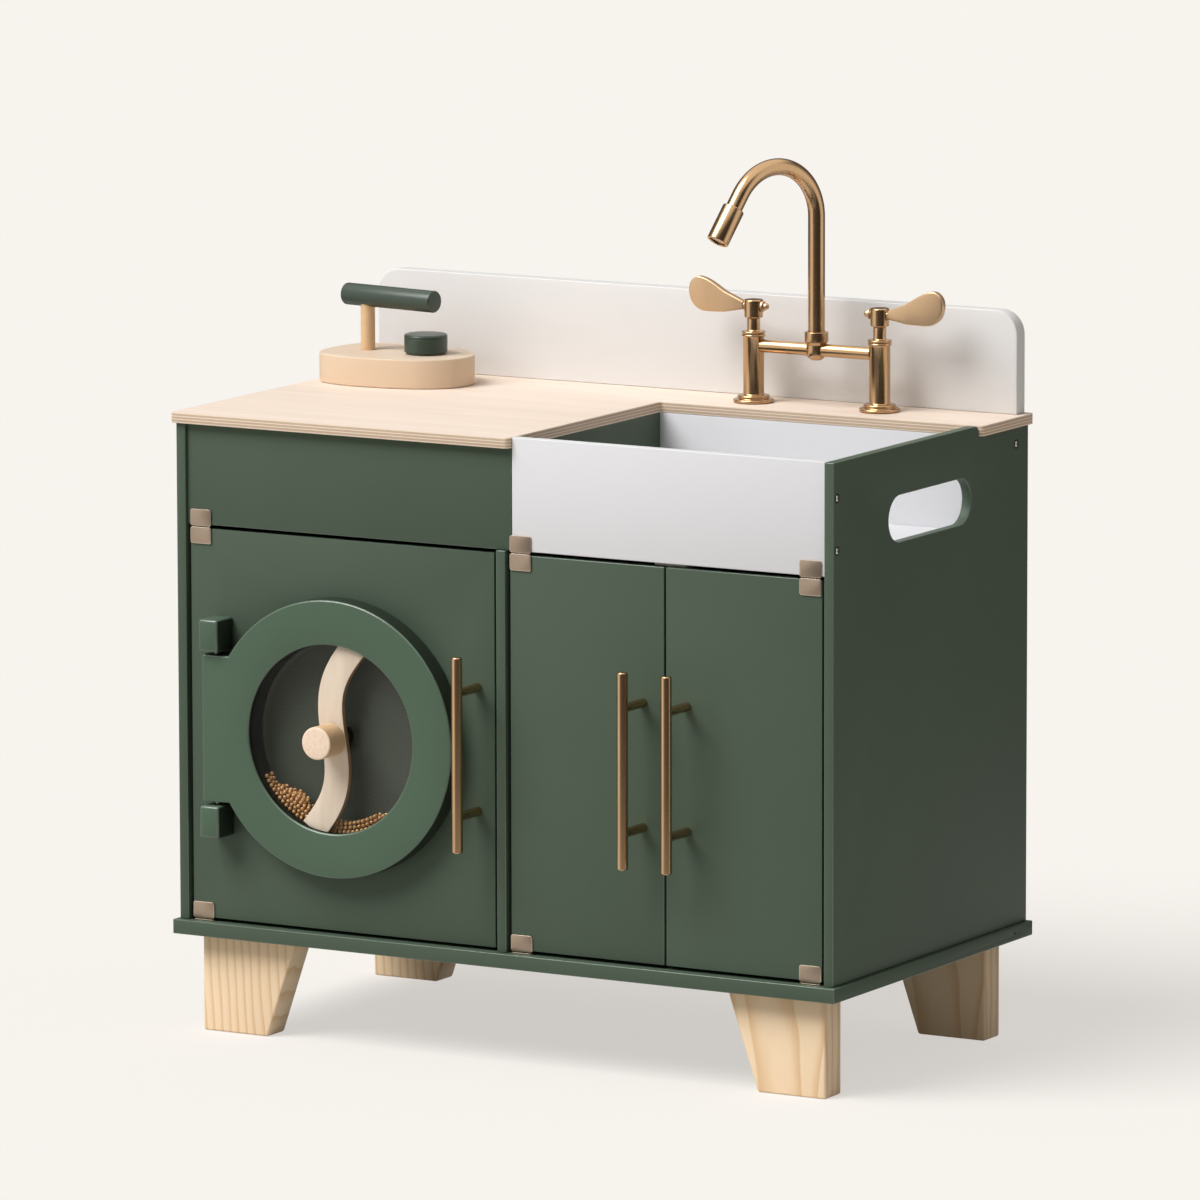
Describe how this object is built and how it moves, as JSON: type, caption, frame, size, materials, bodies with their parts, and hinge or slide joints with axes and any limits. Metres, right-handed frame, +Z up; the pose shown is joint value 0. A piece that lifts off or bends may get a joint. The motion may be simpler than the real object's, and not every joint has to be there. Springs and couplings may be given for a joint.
{
  "type": "toy washing machine",
  "caption": "Wooden play laundry unit: porthole washer door with a hand-turned drum blade, a sink with a bridge tap, cupboard doors, and a toy iron on the worktop.",
  "frame": {"origin": "centre of the overall box at the height of the feet", "axes": "+Z up from the floor, +X to the right as seen from the front, +Y from the doors towards the backsplash"},
  "size_m": [0.648, 0.3904, 0.7558],
  "materials": {
    "painted_green": "satin painted board",
    "painted_ring": "satin painted board",
    "painted_white": "satin painted board",
    "plywood": "clear lacquered birch plywood",
    "pine": "clear lacquered solid pine",
    "beech": "sanded pale hardwood",
    "painted_dark": "satin painted hardwood",
    "drum": "dark satin moulding",
    "window": "clear acrylic sheet",
    "bronze": "brushed antique gold",
    "lever": "pale satin gold",
    "clip": "satin champagne anodised",
    "steel": "plain bright steel",
    "beads": "small golden beads"
  },
  "bodies": {
    "cabinet": {"base_board": "painted_green", "front_left_leg": "pine", "front_right_leg": "pine", "rear_left_leg": "pine", "rear_right_leg": "pine", "left_side_panel": "painted_green", "centre_divider": "painted_green", "right_side_panel": "painted_green", "back_panel": "painted_green", "rear_rail": "pine", "washer_fascia": "painted_green", "sink_apron": "painted_white", "sink_floor": "painted_white", "sink_back_wall": "painted_white", "sink_left_lining": "painted_green", "worktop": "plywood", "backsplash": "painted_white", "washer_door_top_pivot_clip": "clip", "washer_door_base_pivot_leaf": "clip", "left_sink_door_top_pivot_clip": "clip", "left_sink_door_base_pivot_leaf": "clip", "right_sink_door_top_pivot_clip": "clip", "right_sink_door_base_pivot_leaf": "clip", "washer_door_catch": "painted_white", "sink_door_catch": "painted_white", "left_tap_post": "bronze", "right_tap_post": "bronze", "tap_bridge": "bronze"},
    "washer_door": {"washer_door_panel": "painted_green", "washer_door_top_clip": "clip", "washer_door_bottom_clip": "clip", "washer_door_handle": "bronze", "porthole_top_block": "painted_ring", "porthole_bottom_block": "painted_ring", "porthole_pin": "steel"},
    "porthole": {"porthole_ring": "painted_ring", "drum_cup": "drum", "drum_window": "window", "bead_heap": "beads"},
    "stirrer": {"stirring_blade": "beech", "stirring_knob": "beech", "stirring_spindle": "steel"},
    "left_sink_door": {"left_sink_door_panel": "painted_green", "left_sink_door_top_clip": "clip", "left_sink_door_bottom_clip": "clip", "left_sink_door_handle": "bronze"},
    "right_sink_door": {"right_sink_door_panel": "painted_green", "right_sink_door_top_clip": "clip", "right_sink_door_bottom_clip": "clip", "right_sink_door_handle": "bronze"},
    "spout": {"spout_tube": "bronze", "spout_nozzle": "bronze"},
    "left_lever": {"left_lever_head": "bronze", "left_lever_paddle": "lever"},
    "right_lever": {"right_lever_head": "bronze", "right_lever_paddle": "lever"},
    "iron": {"iron_base": "beech", "iron_dowel": "pine", "iron_handle": "painted_dark"},
    "dial": {"iron_dial": "painted_dark"}
  },
  "joints": [
    {"name": "washer_door_hinge", "type": "hinge", "parent": "cabinet", "child": "washer_door", "pos_m": [-0.3017, -0.14675, 0.2705], "axis": [0, 0, -1], "range_deg": [0, 95]},
    {"name": "porthole_hinge", "type": "hinge", "parent": "washer_door", "child": "porthole", "pos_m": [-0.2753, -0.16225, 0.2705], "axis": [0, 0, -1], "range_deg": [0, 90]},
    {"name": "stirrer_spin", "type": "hinge", "parent": "porthole", "child": "stirrer", "pos_m": [-0.15725, -0.16225, 0.2705], "axis": [0, 1, 0], "continuous": true},
    {"name": "left_sink_door_hinge", "type": "hinge", "parent": "cabinet", "child": "left_sink_door", "pos_m": [0.0148, -0.14675, 0.2705], "axis": [0, 0, -1], "range_deg": [0, 95]},
    {"name": "right_sink_door_hinge", "type": "hinge", "parent": "cabinet", "child": "right_sink_door", "pos_m": [0.3017, -0.14675, 0.2705], "axis": [0, 0, 1], "range_deg": [0, 95]},
    {"name": "spout_swivel", "type": "hinge", "parent": "cabinet", "child": "spout", "pos_m": [0.143, 0.13875, 0.6], "axis": [0, 0, 1], "range_deg": [-70, 110]},
    {"name": "left_lever_turn", "type": "hinge", "parent": "cabinet", "child": "left_lever", "pos_m": [0.0815, 0.13875, 0.61975], "axis": [0, 0, 1], "range_deg": [0, 90]},
    {"name": "right_lever_turn", "type": "hinge", "parent": "cabinet", "child": "right_lever", "pos_m": [0.2045, 0.13875, 0.61975], "axis": [0, 0, -1], "range_deg": [0, 90]},
    {"name": "iron_lift", "type": "slide", "parent": "cabinet", "child": "iron", "axis": [0, 0, 1], "range_m": [0, 0.15]},
    {"name": "iron_dial_turn", "type": "hinge", "parent": "iron", "child": "dial", "pos_m": [-0.2266, 0.10575, 0.57], "axis": [0, 0, 1], "continuous": true}
  ]
}
